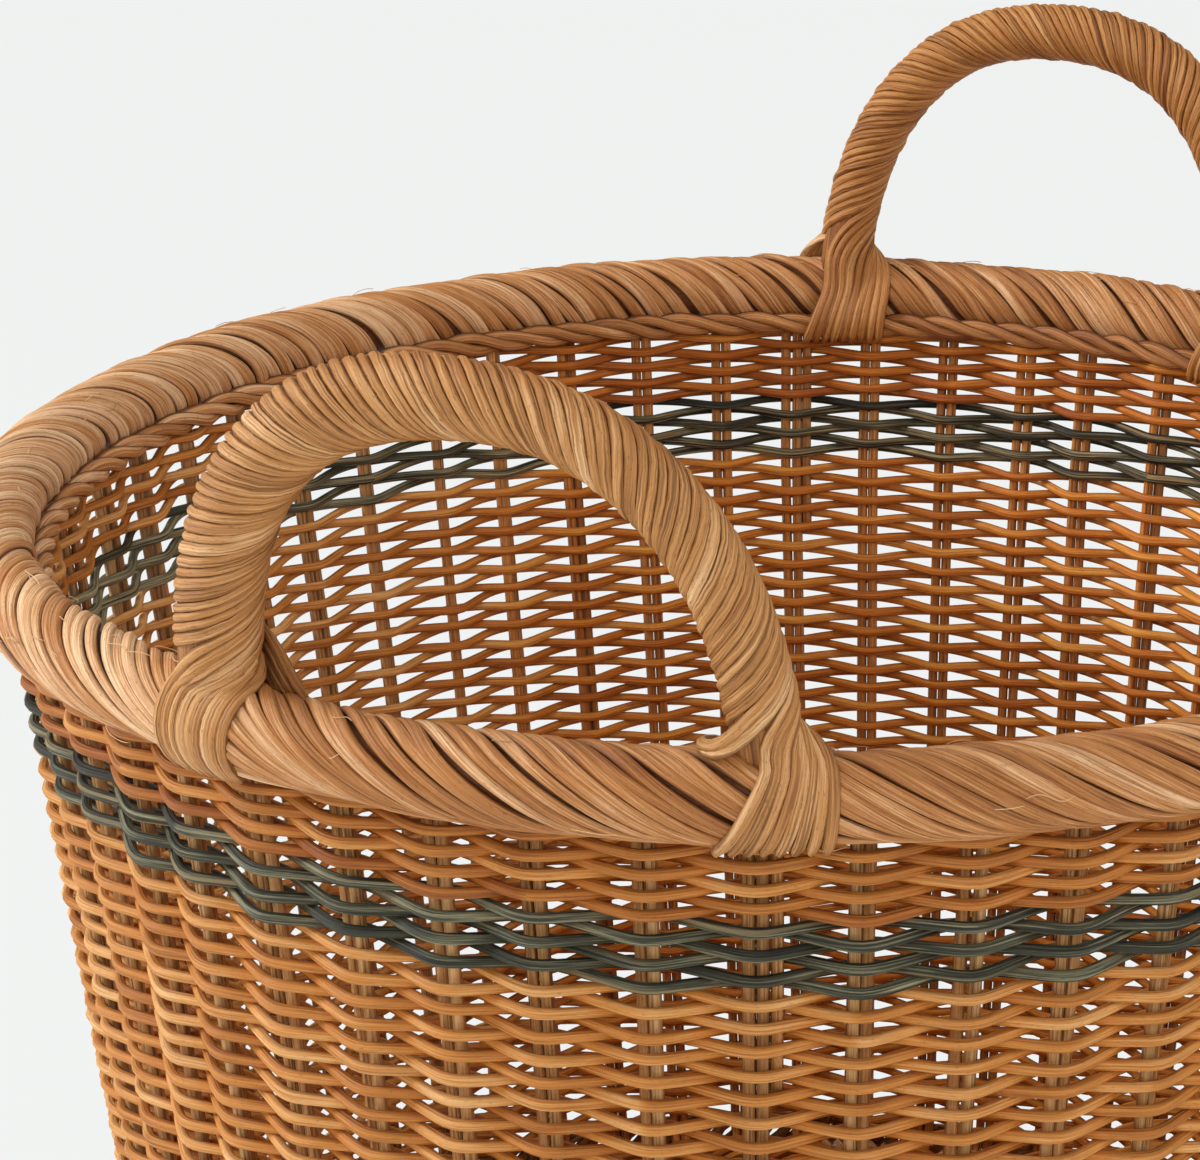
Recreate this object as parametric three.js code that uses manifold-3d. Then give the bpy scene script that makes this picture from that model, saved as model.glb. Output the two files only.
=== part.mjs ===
// Round rattan basket with two fixed, roped loop handles.
// Units are millimetres, +Z is up, and the origin is on the floor under the basket's centre.
// The handles stand near the X axis.

import * as THREE from 'three';
import { mergeVertices } from 'three/addons/utils/BufferGeometryUtils.js';
import Module from 'manifold-3d';

const wasm = await Module();
wasm.setup();

// Rods, strands and the gap kept between neighbours
const rodDiameter = 3.8;
const weaverDiameter = 3.7;
const clearance = 0.3;

// The cross of spokes: two layers of rod pairs, whose ends become the upright stakes
const spokesPerLayer = 13;
const bundleGap = 0.6;
const crossTurn = THREE.MathUtils.degToRad(4.7);
const kinkToSplit = 2;
const layerSplitLength = 9;

// Base and wall, measured on the middle of the rods
const baseHeight = 14;
const wallFootRadius = 195.5;
const wallInsetFromRim = 6.2;
const footBendRadius = 8;
const footBendSteps = 4;

// Rolled rim
const rimCentreRadius = 240;
const rimCentreHeight = 338;
const rimRollRadius = 12.4;
const hoopRadius = 4;
const hoopOutset = 4.2;
const spokeEndBelowRimCentre = 6;
const slotClearance = 0.4;

// Inner braid
const braidRadius = 3.2;

// Bands of weave, from the rim down
const weaveAboveStripe = 24.1;
const rowPitch = 7.06;
const stripeRows = 3;
const wallBandGap = 1;

// A plain grid of openings through the lower weave, between its stakes
const openingWidth = 11;
const openingHeight = 26;
const openingRows = 7;
const gapsPerOpening = 2;

// Base weave
const baseWeaveOuterGap = 3;

// Foot border
const footBorderWidth = 19;
const footBorderHeight = 22;
const footBorderChamfer = 3;

// Handles
const handleAngles = [1.3, 177].map(THREE.MathUtils.degToRad);
const handleNames = ['right_handle', 'left_handle'];
const handleHalfSpan = 75.5;
const handleRise = 100;
const handleFootInset = 4;
const handleLean = THREE.MathUtils.degToRad(9.8);
const handleSquareness = 2.33;
const handleRadius = 10.4;
const firstFootSwells = [2.2, 0];
const swellEnds = 170;
const swellLength = 65;
const bowRadius = 5;
const legRadius = 3;
const legTipRadius = 2;
const legDepth = 88;
const legTaperLength = 24;
const legWeb = 1;

// Lashings that tie the handle feet to the rim
const lashingThickness = 3.4;
const lashingGap = 0.5;
const lashingWidth = 26;
const lashingOuterEnd = THREE.MathUtils.degToRad(-92);
const lashingInnerEnd = THREE.MathUtils.degToRad(198);

// Facets
const rimSides = 10;
const lashingSides = 8;
const ropeSides = 6;
const wrapSides = 12;
const bowSides = 8;
const archSteps = 18;
const legSteps = 7;
const lashingSteps = 2;

// Worked out from the sizes above
const stakeCount = 4 * spokesPerLayer;
const stakePitch = (2 * Math.PI) / stakeCount;
const pairWidth = 2 * rodDiameter;
const pairPitch = pairWidth + bundleGap;
const weaveHalfThickness = rodDiameter / 2 + weaverDiameter;
const layerOffset = (rodDiameter + clearance) / 2;
const outerIndex = (spokesPerLayer - 1) / 2;
const kinkRadius = (pairPitch * outerIndex) / Math.sin(stakePitch * outerIndex);
const layerSplitRadius = kinkRadius + kinkToSplit;
const wallTopRadius = rimCentreRadius - wallInsetFromRim;
const handleFootRadius = rimCentreRadius - handleFootInset;
const wallSlope = (wallTopRadius - wallFootRadius) / (rimCentreHeight - baseHeight);
const spokeTopHeight = rimCentreHeight - spokeEndBelowRimCentre;
const legTipHeight = rimCentreHeight - legDepth;
const braidInset = braidRadius + clearance + rodDiameter / 2 + slotClearance;
const braidReach = rimRollRadius + clearance + braidRadius;

function wallRadiusAt(height) {
  return wallFootRadius + wallSlope * (height - baseHeight);
}

function polar(angle, radius, height = 0) {
  return new THREE.Vector3(radius * Math.cos(angle), radius * Math.sin(angle), height);
}

function outward(angle) {
  return polar(angle, 1);
}

function sideways(angle) {
  return new THREE.Vector3(-Math.sin(angle), Math.cos(angle), 0);
}

// Closed meshes from points and triangles

function signedVolume(points, triangles) {
  let sum = 0;
  for (const [a, b, c] of triangles) {
    sum += points[a].dot(new THREE.Vector3().crossVectors(points[b], points[c]));
  }
  return sum / 6;
}

function closedGeometry(points, triangles) {
  const inward = signedVolume(points, triangles) < 0;
  const geometry = new THREE.BufferGeometry();
  geometry.setFromPoints(points);
  geometry.setIndex(triangles.flatMap(([a, b, c]) => (inward ? [a, c, b] : [a, b, c])));
  return geometry;
}

// A solid through a list of rings of points, closed by a cap at each end
function ringSolid(rings, capTriangles) {
  const size = rings[0].length;
  const points = rings.flat();
  const triangles = [];
  for (let ring = 0; ring + 1 < rings.length; ring += 1) {
    for (let i = 0; i < size; i += 1) {
      const a = ring * size + i;
      const b = ring * size + ((i + 1) % size);
      triangles.push([a, b, b + size], [a, b + size, a + size]);
    }
  }
  const last = (rings.length - 1) * size;
  for (const [a, b, c] of capTriangles) {
    triangles.push([a, c, b], [last + a, last + b, last + c]);
  }
  return closedGeometry(points, triangles);
}

function capOf(outline) {
  return THREE.ShapeUtils.triangulateShape(outline, []);
}

function circleOutline(radius, sides) {
  return Array.from({ length: sides }, (_, i) => {
    const angle = (2 * Math.PI * i) / sides;
    return new THREE.Vector2(radius * Math.cos(angle), radius * Math.sin(angle));
  });
}

// A ring round the Z axis, with its corners at the stakes. The outline is in radius and height.
function ringAroundAxis(outline) {
  const geometry = new THREE.LatheGeometry([...outline, outline[0]], stakeCount);
  geometry.rotateX(Math.PI / 2);
  geometry.rotateZ(crossTurn);
  return geometry;
}

function toSolid(geometry) {
  const bare = geometry.clone();
  bare.deleteAttribute('normal');
  bare.deleteAttribute('uv');
  const merged = mergeVertices(bare, 1e-4);
  return new wasm.Manifold(new wasm.Mesh({
    numProp: 3,
    vertProperties: merged.attributes.position.array,
    triVerts: new Uint32Array(merged.index.array),
  }));
}

function toGeometry(solid) {
  const mesh = solid.getMesh();
  const geometry = new THREE.BufferGeometry();
  geometry.setAttribute('position', new THREE.BufferAttribute(mesh.vertProperties, 3));
  geometry.setIndex(new THREE.BufferAttribute(mesh.triVerts, 1));
  return geometry;
}

function cutAway(geometry, tools) {
  return toGeometry(tools.reduce((solid, tool) => solid.subtract(toSolid(tool)), toSolid(geometry)));
}

// Spokes

// Where one half of a spoke runs, from the middle of the base to the rim
function halfSpokeStations(index, along, layerHeight) {
  const across = new THREE.Vector3(-along.y, along.x, 0).multiplyScalar(-1);
  const offset = index * pairPitch;
  const turn = index * stakePitch;
  const axisAngle = Math.atan2(along.y, along.x);
  const angle = axisAngle - turn;
  const stations = [];
  const add = (point, side, widthScale = 1) => stations.push({ point, side, widthScale });

  const kink = across.clone().multiplyScalar(offset);
  kink.addScaledVector(along, Math.sqrt(kinkRadius ** 2 - offset ** 2));
  kink.z = layerHeight;
  const kinkSide = sideways(axisAngle - turn / 2);
  add(kink, kinkSide, 1 / Math.cos(turn / 2));
  add(polar(angle, layerSplitRadius, layerHeight), sideways(angle));
  add(polar(angle, layerSplitRadius + layerSplitLength, baseHeight), sideways(angle));
  for (const [radius, height] of footBend()) {
    add(polar(angle, radius, height), sideways(angle));
  }
  add(polar(angle, wallRadiusAt(spokeTopHeight), spokeTopHeight), sideways(angle));
  return stations;
}

// Radius and height of the points round the bend between base and wall
function footBend() {
  const lean = Math.atan(wallSlope);
  const sweep = Math.PI / 2 - lean;
  const setback = footBendRadius * Math.tan(sweep / 2);
  const centreRadius = wallFootRadius - setback;
  const centreHeight = baseHeight + footBendRadius;
  return Array.from({ length: footBendSteps + 1 }, (_, i) => {
    const angle = (sweep * i) / footBendSteps;
    return [
      centreRadius + footBendRadius * Math.sin(angle),
      centreHeight - footBendRadius * Math.cos(angle),
    ];
  });
}

function spokeGeometry(layer, index) {
  const layerAngle = crossTurn + (layer * Math.PI) / 2;
  const layerHeight = baseHeight + (layer === 0 ? layerOffset : -layerOffset);
  const ahead = halfSpokeStations(index, outward(layerAngle), layerHeight);
  const behind = halfSpokeStations(-index, outward(layerAngle + Math.PI), layerHeight);
  for (const station of behind) {
    station.side = station.side.clone().negate();
  }
  const stations = [...behind.reverse(), ...ahead];
  const rings = stations.map((station, i) => {
    const before = stations[Math.max(i - 1, 0)].point;
    const after = stations[Math.min(i + 1, stations.length - 1)].point;
    const into = station.point.clone().sub(before).normalize();
    const out = after.clone().sub(station.point).normalize();
    const heading = into.clone().add(out).normalize();
    const turnScale = 1 / Math.max(heading.dot(i > 0 ? into : out), 0.5);
    const top = new THREE.Vector3().crossVectors(heading, station.side).normalize();
    const upright = station.widthScale === 1 ? turnScale : 1;
    const half = (pairWidth / 2) * station.widthScale;
    const thick = (rodDiameter / 2) * upright;
    return [[1, 1], [-1, 1], [-1, -1], [1, -1]].map(([u, v]) => station.point.clone()
      .addScaledVector(station.side, u * half)
      .addScaledVector(top, v * thick));
  });
  return ringSolid(rings, [[0, 1, 2], [0, 2, 3]]);
}

// Woven bands: a ring of weave from one radius and height to another, with a channel for each stake

function wovenBand(start, end, thicknessDirection) {
  const holeHalfWidth = pairWidth / 2 + clearance;
  const holeHalfHeight = rodDiameter / 2 + clearance;
  const points = [];
  const corners = [
    [0, weaveHalfThickness], [0, -weaveHalfThickness],
    [-holeHalfWidth, holeHalfHeight], [holeHalfWidth, holeHalfHeight],
    [holeHalfWidth, -holeHalfHeight], [-holeHalfWidth, -holeHalfHeight],
  ];
  for (const { radius, height } of [start, end]) {
    for (let i = 0; i < stakeCount; i += 1) {
      const angle = crossTurn + i * stakePitch;
      for (const [u, v] of corners) {
        const point = polar(angle, radius, height).addScaledVector(sideways(angle), u);
        point.addScaledVector(outward(angle), v * thicknessDirection.x);
        point.z += v * thicknessDirection.y;
        points.push(point);
      }
    }
  }
  const perSector = corners.length;
  const endOffset = stakeCount * perSector;
  const triangles = [];
  const side = (a, b) => triangles.push([a, b, b + endOffset], [a, b + endOffset, a + endOffset]);
  const cap = (a, b, c) => triangles.push([a, c, b], [a + endOffset, b + endOffset, c + endOffset]);
  for (let i = 0; i < stakeCount; i += 1) {
    const [top, bottom, leftTop, rightTop, rightBottom, leftBottom] = corners.map((_, k) => i * perSector + k);
    const next = ((i + 1) % stakeCount) * perSector;
    const [nextTop, nextBottom, nextLeftTop, , , nextLeftBottom] = corners.map((_, k) => next + k);
    side(nextTop, top);
    side(bottom, nextBottom);
    side(leftTop, rightTop);
    side(rightTop, rightBottom);
    side(rightBottom, leftBottom);
    side(leftBottom, leftTop);
    cap(top, leftTop, rightTop);
    cap(top, rightTop, nextLeftTop);
    cap(top, nextLeftTop, nextTop);
    cap(rightTop, rightBottom, nextLeftBottom);
    cap(rightTop, nextLeftBottom, nextLeftTop);
    cap(bottom, rightBottom, leftBottom);
    cap(bottom, nextBottom, nextLeftBottom);
    cap(bottom, nextLeftBottom, rightBottom);
  }
  return closedGeometry(points, triangles);
}

function wallBand(lowest, highest) {
  const levels = [lowest, highest].map((height) => ({ radius: wallRadiusAt(height), height }));
  return wovenBand(levels[0], levels[1], new THREE.Vector2(1, 0));
}

// Bars that cut the grid of openings, leaving out those that would meet a leg of a handle
function weaveOpenings(lowest, highest) {
  const pitch = (highest - lowest) / openingRows;
  const bars = [];
  for (let gap = 0; gap < stakeCount; gap += gapsPerOpening) {
    const angle = crossTurn + (gap + 0.5) * stakePitch;
    for (let row = 0; row < openingRows; row += 1) {
      const height = lowest + (row + 0.5) * pitch;
      if (height + openingHeight / 2 < legTipHeight || !holdsLeg(angle)) {
        const bar = new THREE.BoxGeometry(4 * weaveHalfThickness, openingWidth, openingHeight);
        const centre = polar(angle, wallRadiusAt(height), height);
        bars.push(bar.rotateZ(angle).translate(centre.x, centre.y, centre.z));
      }
    }
  }
  return bars;
}

function baseBand() {
  const [bendStart] = footBend()[0];
  const inner = { radius: layerSplitRadius + layerSplitLength + clearance, height: baseHeight };
  const outer = { radius: bendStart - baseWeaveOuterGap, height: baseHeight };
  return wovenBand(inner, outer, new THREE.Vector2(0, 1));
}

// Rim

// An arc round the rim's centre, with its corners at the radius
function rimOutline(radius, from, to, sides) {
  return Array.from({ length: sides + 1 }, (_, i) => {
    const angle = from + ((to - from) * i) / sides;
    return new THREE.Vector2(
      rimCentreRadius + radius * Math.cos(angle),
      rimCentreHeight + radius * Math.sin(angle),
    );
  });
}

// The corner radius at which an arc's flats lie at the given radius
function clearOf(radius, from, to, sides) {
  return radius / Math.cos((to - from) / sides / 2);
}

// The rolled strands: a thick ring, open below for the stakes and hollow for the hoop
function rimWrapOutline() {
  const slotHalf = rodDiameter / 2 + slotClearance;
  const inset = (height) => wallRadiusAt(rimCentreHeight + height) - rimCentreRadius;
  const slitRight = inset(-rimRollRadius) + slotHalf;
  const slitLeft = inset(-rimRollRadius) - slotHalf;
  const from = -Math.PI / 2 - Math.asin(-slitRight / rimRollRadius);
  const to = (3 * Math.PI) / 2 - Math.asin(-slitLeft / rimRollRadius);
  const outside = rimOutline(rimRollRadius, from, to, rimSides);
  const hoopHalf = hoopRadius + clearance;
  const roof = hoopHalf + slotClearance;
  const bevel = hoopHalf / 2;
  const hollow = [
    [inset(roof) - slotHalf, roof],
    [hoopOutset + bevel, roof],
    [hoopOutset + hoopHalf, bevel],
    [hoopOutset + hoopHalf, -bevel],
    [hoopOutset + bevel, -hoopHalf],
    [inset(-hoopHalf) + slotHalf, -hoopHalf],
  ].map(([x, y]) => new THREE.Vector2(rimCentreRadius + x, rimCentreHeight + y));
  return [...outside, ...hollow];
}

function ropeRing(radius, height, thickness) {
  return ringAroundAxis(circleOutline(thickness, ropeSides).map(
    (point) => new THREE.Vector2(radius + point.x, height + point.y),
  ));
}

function hoopGeometry() {
  return ropeRing(rimCentreRadius + hoopOutset, rimCentreHeight, hoopRadius);
}

// The braid lies against the stakes, just under the rolled rim
function braidCentre() {
  let drop = rimRollRadius;
  for (let pass = 0; pass < 6; pass += 1) {
    const inset = rimCentreRadius - wallRadiusAt(rimCentreHeight - drop) + braidInset;
    drop = Math.sqrt(Math.max(braidReach ** 2 - inset ** 2, 0));
  }
  return { radius: wallRadiusAt(rimCentreHeight - drop) - braidInset, height: rimCentreHeight - drop };
}

// Foot border: a thick ring outside and under the bend of the stakes, flat where it stands
function footBorderOutline() {
  const outer = wallFootRadius + footBorderWidth / 2 + footBorderChamfer / 2;
  const inner = outer - footBorderWidth;
  const shelf = baseHeight - rodDiameter / 2 - clearance;
  const topInner = wallRadiusAt(footBorderHeight) + rodDiameter / 2 + clearance;
  return [
    [inner + footBorderChamfer, 0],
    [outer - footBorderChamfer, 0],
    [outer, footBorderHeight * 0.3],
    [outer, footBorderHeight * 0.65],
    [outer - footBorderChamfer, footBorderHeight],
    [topInner, footBorderHeight],
    [topInner, shelf],
    [inner + footBorderChamfer, shelf],
    [inner, shelf / 2],
  ].map(([x, y]) => new THREE.Vector2(x, y));
}

// Handles

// The nearest angle at which a leg clears the stakes beside it
function besideStake(angle) {
  const need = legRadius + clearance + legWeb + clearance + pairWidth / 2;
  const least = Math.asin(need / wallRadiusAt(legTipHeight));
  const nearest = crossTurn + Math.round((angle - crossTurn) / stakePitch) * stakePitch;
  const offset = angle - nearest;
  const side = offset < 0 ? -1 : 1;
  return nearest + side * Math.max(Math.abs(offset), Math.min(least, stakePitch / 2));
}

function legAngle(handleAngle, side) {
  return besideStake(handleAngle + side * Math.asin(handleHalfSpan / handleFootRadius));
}

// Whether a leg comes down between the two stakes on either side of an angle
function holdsLeg(angle) {
  const legs = handleAngles.flatMap((handleAngle) => [-1, 1].map((side) => legAngle(handleAngle, side)));
  return legs.some((leg) => Math.cos(leg - angle) > Math.cos(stakePitch / 2));
}

function archPoints(handleAngle) {
  const chordRadius = Math.sqrt(handleFootRadius ** 2 - handleHalfSpan ** 2);
  const rise = outward(handleAngle).multiplyScalar(Math.sin(handleLean));
  rise.z = Math.cos(handleLean);
  return Array.from({ length: archSteps + 1 }, (_, i) => {
    const t = (Math.PI * i) / archSteps;
    const reach = Math.abs(Math.cos(t)) ** (2 / handleSquareness) * -Math.sign(Math.cos(t));
    const lift = Math.sin(t) ** (2 / handleSquareness);
    return polar(handleAngle, chordRadius, rimCentreHeight)
      .addScaledVector(sideways(handleAngle), handleHalfSpan * reach)
      .addScaledVector(rise, handleRise * lift);
  });
}

function legPoints(handleAngle, side) {
  const angle = legAngle(handleAngle, side);
  const top = spokeTopHeight + clearance;
  const heights = [top, rimCentreHeight - rimRollRadius, (top + legTipHeight) / 2, legTipHeight];
  return heights.map((height) => polar(angle, wallRadiusAt(height), height));
}

function bowCurve(handleAngle) {
  return new THREE.CatmullRomCurve3([
    ...legPoints(handleAngle, -1).reverse(),
    ...archPoints(handleAngle),
    ...legPoints(handleAngle, 1),
  ], false, 'centripetal');
}

// A round bar through the given shares of the bow's length. The radius may change with height and share.
function barAlong(handleAngle, shares, sides, radiusAt) {
  const curve = bowCurve(handleAngle);
  const outside = outward(handleAngle);
  const rings = shares.map((share) => {
    const centre = curve.getPointAt(share);
    const heading = curve.getTangentAt(share);
    const across = new THREE.Vector3().crossVectors(heading, outside).normalize();
    const face = new THREE.Vector3().crossVectors(across, heading).normalize();
    return circleOutline(radiusAt(centre.z, share), sides).map((point) => centre.clone()
      .addScaledVector(across, point.x)
      .addScaledVector(face, point.y));
  });
  return ringSolid(rings, capOf(circleOutline(1, sides)));
}

function evenShares(from, to, steps) {
  return Array.from({ length: steps + 1 }, (_, i) => from + ((to - from) * i) / steps);
}

// The two shares of the bow's length at which it passes through a height
function sharesAtHeight(handleAngle, height) {
  const curve = bowCurve(handleAngle);
  const samples = 400;
  const above = evenShares(0, 1, samples).filter((share) => curve.getPointAt(share).z >= height);
  return [above[0], above[above.length - 1]];
}

function bowRadiusAt(height, extra = 0) {
  const rimTop = rimCentreHeight + rimRollRadius + clearance + lashingThickness;
  const shoulder = THREE.MathUtils.clamp((height - rimTop) / legTaperLength, 0, 1);
  const point = THREE.MathUtils.clamp((height - legTipHeight) / legTaperLength, 0, 1);
  const leg = THREE.MathUtils.lerp(legTipRadius, legRadius, point);
  return THREE.MathUtils.lerp(leg, bowRadius, shoulder) + extra;
}

// Shares of the bow's length: the first leg, the arch, and the second leg
function bowShares(handleAngle) {
  const top = rimCentreHeight + rimRollRadius + lashingThickness + braidRadius;
  const [rising, falling] = sharesAtHeight(handleAngle, top);
  return {
    legs: [evenShares(0, rising, legSteps), evenShares(falling, 1, legSteps)],
    arch: evenShares(rising, falling, archSteps),
  };
}

function wholeBow(handleAngle) {
  const { legs, arch } = bowShares(handleAngle);
  return [...legs[0], ...arch.slice(1, -1), ...legs[1]];
}

function bowGeometry(handleAngle) {
  return barAlong(handleAngle, wholeBow(handleAngle), bowSides, (z) => bowRadiusAt(z));
}

// The room that a bow's two legs need in the wall, the rim and the lashings
function legSlots(handleAngle) {
  return bowShares(handleAngle).legs.map((shares) => barAlong(
    handleAngle, shares, bowSides, (z) => bowRadiusAt(z, clearance / Math.cos(Math.PI / bowSides)),
  ));
}

function lashingEnvelope() {
  const lashing = lashingRadii().outer + clearance;
  const radius = clearOf(lashing, 0, 2 * Math.PI, rimSides);
  return ringAroundAxis(rimOutline(radius, 0, 2 * Math.PI, rimSides).slice(0, rimSides));
}

// The winding is thicker toward its first foot by the given swell
function handleWrapGeometry(handleAngle, swell) {
  const [start, end] = sharesAtHeight(handleAngle, rimCentreHeight);
  const length = bowCurve(handleAngle).getLength();
  const radiusAt = (height, share) => {
    const along = (share - start) * length;
    return handleRadius + swell * THREE.MathUtils.smoothstep(swellEnds - along, 0, swellLength);
  };
  const outer = barAlong(handleAngle, evenShares(start, end, archSteps + 2), wrapSides, radiusAt);
  const bore = barAlong(handleAngle, wholeBow(handleAngle), bowSides, () => bowRadius + 2 * clearance);
  return cutAway(outer, [bore, lashingEnvelope()]);
}

function lashingRadii() {
  const inner = clearOf(rimRollRadius + lashingGap, lashingOuterEnd, lashingInnerEnd, lashingSides);
  return { inner, outer: inner + lashingThickness };
}

function lashingOutline() {
  const { inner, outer } = lashingRadii();
  return [
    ...rimOutline(outer, lashingOuterEnd, lashingInnerEnd, lashingSides),
    ...rimOutline(inner, lashingInnerEnd, lashingOuterEnd, lashingSides),
  ];
}

function lashingGeometry(handleAngle, side) {
  const footAngle = handleAngle + side * Math.asin(handleHalfSpan / handleFootRadius);
  const outline = lashingOutline();
  const half = lashingWidth / 2 / rimCentreRadius;
  const rings = Array.from({ length: lashingSteps + 1 }, (_, i) => {
    const angle = footAngle - half + (2 * half * i) / lashingSteps;
    return outline.map((point) => polar(angle, point.x, point.y));
  });
  return cutAway(ringSolid(rings, capOf(outline)), legSlots(handleAngle));
}

// Materials, one for each kind of rattan

function rattan(color, roughness) {
  return () => new THREE.MeshStandardMaterial({ color, roughness, metalness: 0 });
}

const stakeRattan = rattan(0xb89a68, 0.7);
const wallRattan = rattan(0xb9793f, 0.6);
const dyedRattan = rattan(0x565c4e, 0.65);
const rimRattan = rattan(0xc08c5c, 0.6);
const handleRattan = rattan(0xcc9b69, 0.6);

const basket = new THREE.Group();

function addPiece(name, geometry, makeMaterial) {
  const mesh = new THREE.Mesh(geometry, makeMaterial());
  mesh.name = name;
  basket.add(mesh);
}

const bowSlots = handleAngles.flatMap((angle) => legSlots(angle));
const wallTop = rimCentreHeight - rimRollRadius - clearance - wallBandGap;
const stripeTop = wallTop - weaveAboveStripe;
const stripeFoot = stripeTop - stripeRows * rowPitch;
const wallFoot = footBorderHeight + clearance;

for (let layer = 0; layer < 2; layer += 1) {
  for (let i = 0; i < spokesPerLayer; i += 1) {
    const number = String(layer * spokesPerLayer + i + 1).padStart(2, '0');
    addPiece(`spoke_pair_${number}`, spokeGeometry(layer, i - outerIndex), stakeRattan);
  }
}

addPiece('base_weave', baseBand(), wallRattan);
addPiece('foot_border', ringAroundAxis(footBorderOutline()), rimRattan);
const lowerTop = stripeFoot - clearance;
const lowerCuts = [...bowSlots, ...weaveOpenings(wallFoot, lowerTop)];
addPiece('wall_weave_lower', cutAway(wallBand(wallFoot, lowerTop), lowerCuts), wallRattan);
addPiece('wall_stripe', cutAway(wallBand(stripeFoot, stripeTop), bowSlots), dyedRattan);
addPiece('wall_weave_upper', cutAway(wallBand(stripeTop + clearance, wallTop), bowSlots), wallRattan);
addPiece('inner_braid', ropeRing(braidCentre().radius, braidCentre().height, braidRadius), wallRattan);
addPiece('rim_hoop', hoopGeometry(), stakeRattan);
addPiece('rim_wrap', cutAway(ringAroundAxis(rimWrapOutline()), bowSlots), rimRattan);

handleAngles.forEach((angle, i) => {
  addPiece(`${handleNames[i]}_bow`, bowGeometry(angle), stakeRattan);
  addPiece(`${handleNames[i]}_wrap`, handleWrapGeometry(angle, firstFootSwells[i]), handleRattan);
  addPiece(`${handleNames[i]}_lashing_a`, lashingGeometry(angle, -1), handleRattan);
  addPiece(`${handleNames[i]}_lashing_b`, lashingGeometry(angle, 1), handleRattan);
});

export default basket;
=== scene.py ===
"""Looks of the rattan basket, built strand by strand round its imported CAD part."""

import math
from dataclasses import dataclass

import bpy
import numpy as np
from mathutils import Matrix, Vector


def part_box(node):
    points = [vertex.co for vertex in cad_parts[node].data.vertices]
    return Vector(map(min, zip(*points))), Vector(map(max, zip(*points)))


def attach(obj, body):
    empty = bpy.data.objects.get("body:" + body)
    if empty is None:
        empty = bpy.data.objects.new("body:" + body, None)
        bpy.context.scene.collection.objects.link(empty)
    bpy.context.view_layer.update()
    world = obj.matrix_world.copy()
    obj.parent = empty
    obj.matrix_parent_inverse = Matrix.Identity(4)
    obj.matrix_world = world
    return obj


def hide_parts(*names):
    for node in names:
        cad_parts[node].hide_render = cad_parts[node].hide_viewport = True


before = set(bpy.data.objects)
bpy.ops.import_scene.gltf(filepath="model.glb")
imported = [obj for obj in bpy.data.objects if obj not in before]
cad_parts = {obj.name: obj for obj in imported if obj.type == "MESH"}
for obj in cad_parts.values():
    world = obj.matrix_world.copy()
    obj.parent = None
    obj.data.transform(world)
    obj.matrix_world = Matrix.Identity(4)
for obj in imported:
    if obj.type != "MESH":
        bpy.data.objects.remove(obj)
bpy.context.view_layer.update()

# Shapes are worked out in millimetres, and meshes are written in metres
MM = 0.001
seeded = np.random.default_rng(20)

# Stakes and spokes: pairs of rods that cross in the base and rise in the wall
ROD_DIAMETER = 3.8
SPOKES_PER_LAYER = 13
STAKE_COUNT = 4 * SPOKES_PER_LAYER
STAKE_PITCH = 2 * math.pi / STAKE_COUNT
CROSS_TURN = math.radians(4.7)
PAIR_PITCH = 2 * ROD_DIAMETER + 0.6
LAYER_OFFSET = (ROD_DIAMETER + 0.3) / 2
KINK_TO_SPLIT = 2
LAYER_SPLIT_LENGTH = 9
BASE_HEIGHT = 14
RIM_HEIGHT = 338
WALL_FOOT_RADIUS = 195.5
WALL_TOP_RADIUS = 233.8
WALL_SLOPE = (WALL_TOP_RADIUS - WALL_FOOT_RADIUS) / (RIM_HEIGHT - BASE_HEIGHT)
FOOT_BEND_RADIUS = 8
STAKE_TOP = 332
# The rods as they show, how far each one's middle line is from the pair's, and how far pairs twist
ROD_SHOWN_DIAMETER = 3.65
ROD_SPREAD = 1.86
ROD_TWIST = math.radians(22)
# The rods' broad faces look away from this point
BASKET_MIDDLE = np.array([0, 0, 120.0])
# Stakes sway, and drift one way together except at this angle. Both grow over this rise
STAKE_SWAY = 0.9
STAKE_DRIFT = 5.0
DRIFT_FREE_ANGLE = math.radians(20)
SWAY_START = 25
SWAY_RISE = 250

# Weave: each row is one strand, over one stake and under the next
WEAVER_DIAMETER = 3.28
ROW_PITCH = 3.53
UPPER_ROW_PITCH = 2.8
# A weaver is at most this many times as thick as its row's pitch
WEAVER_SQUEEZE = 1.18
WEAVE_REACH = 4.6
WEAVE_SAG = 0.45
STEPS_PER_GAP = 10
BASE_STEPS_PER_GAP = 8
BASE_ROWS = 28
# Painted light: how much lighter the weave is than elsewhere, by the angle round the basket, where more
# light falls on it
WALL_PAINTED_LIGHT = {236: 0.0, 262: 0.28, 290: 0.36, 304: 0.15, 312: 0.0}
# Painted shade: across this depth the colours toward the wall's inside are multiplied into a deeper brown,
# for the shade there and the warm light bounced inside; least so round this angle, where painted light
# stands for the light that falls on that part of the inside
INSIDE_SHADE_DEPTH = 6
LIT_INSIDE_ANGLE = math.radians(-95)
LIT_INSIDE_SHARE = 0.7

# Rim: strands rolled round a core
RIM_RADIUS = 240
RIM_ROLL = 12.4
RIM_STRAND_WIDTH = 4.05
RIM_STRAND_THICKNESS = 3.75
RIM_STRAND_STATIONS = 38
# Degrees round the roll at which a strand starts inside, and ends under the outer edge
RIM_FIRST_ROLL = 255
RIM_LAST_ROLL = -98
# A strand takes up this share of its room, and at most this many times its own width
RIM_PACKING = 1.01
RIM_WIDEST = 1.3
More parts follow.
